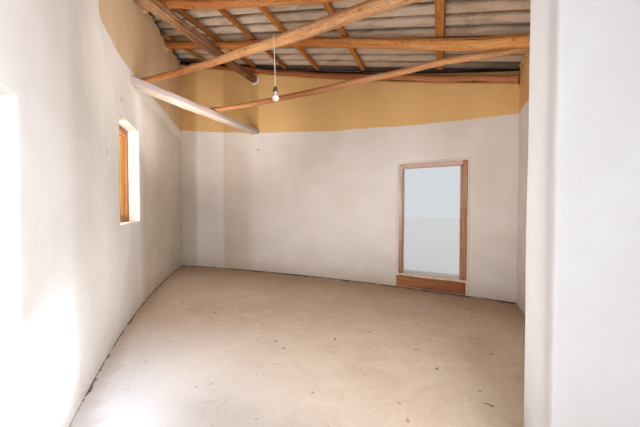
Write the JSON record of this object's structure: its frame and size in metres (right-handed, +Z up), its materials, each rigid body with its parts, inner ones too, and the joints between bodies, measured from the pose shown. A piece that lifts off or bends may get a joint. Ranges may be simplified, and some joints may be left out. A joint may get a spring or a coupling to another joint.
{
  "type": "adobe house end room",
  "caption": "Roofed end room of a small adobe house, with thick limewashed walls, one splayed and curved, a low framed doorway, a timber window and a pole and corrugated-sheet lean-to roof.",
  "frame": {"origin": "on the ground under the middle of the room, 2.265 m left of the right wall's inner face and about 1.37 m in front of the back wall's inner face", "axes": "+X across the room towards the low eave, +Y along the room towards the back wall with the framed doorway, +Z up"},
  "size_m": [6.7233, 4.6902, 4.0984],
  "materials": {
    "limewash_wall": "matt limewash on mud plaster",
    "cement_ledge": "worn cement",
    "floor_screed": "dusty cement screed",
    "pole_wood": "peeled round wood",
    "old_wood": "dry weathered wood",
    "sawn_wood": "rough sawn",
    "frame_wood": "worn varnish",
    "whitewashed_wood": "whitewash",
    "fibre_cement": "stained matt sheet",
    "flex_white": "matt",
    "holder_black": "satin",
    "bulb_glass": "clear"
  },
  "bodies": {
    "root": {"left_wall_near_jamb": "limewash_wall", "left_wall_over_door": "limewash_wall", "left_wall_middle": "limewash_wall", "left_wall_under_window": "limewash_wall", "left_wall_over_window": "limewash_wall", "left_wall_far": "limewash_wall", "back_wall_left": "limewash_wall", "back_wall_middle": "limewash_wall", "back_wall_over_door": "limewash_wall", "back_wall_right": "limewash_wall", "right_wall": "limewash_wall", "front_pier": "limewash_wall", "doorway_sill": "limewash_wall", "threshold_ledge": "cement_ledge", "floor_slab": "floor_screed", "tie_pole_front": "pole_wood", "tie_pole_back": "pole_wood", "roof_pole_1": "pole_wood", "roof_pole_2": "pole_wood", "roof_pole_3": "pole_wood", "roof_pole_4": "pole_wood", "roof_pole_5": "pole_wood", "wall_pole": "pole_wood", "old_beam": "old_wood", "batten_1": "sawn_wood", "batten_2": "sawn_wood", "batten_3": "sawn_wood", "batten_4": "sawn_wood", "batten_5": "sawn_wood", "batten_6": "sawn_wood", "threshold_board": "frame_wood", "door_jamb_left": "frame_wood", "door_jamb_right": "frame_wood", "door_head": "frame_wood", "window_frame": "frame_wood", "window_shutter": "frame_wood", "white_tie_beam": "whitewashed_wood", "roof_sheets_1": "fibre_cement", "roof_sheets_2": "fibre_cement", "roof_sheets_3": "fibre_cement", "roof_sheets_4": "fibre_cement", "roof_sheets_5": "fibre_cement", "lamp_flex": "flex_white", "lamp_holder": "holder_black", "lamp_bulb": "bulb_glass"}
  },
  "joints": []
}
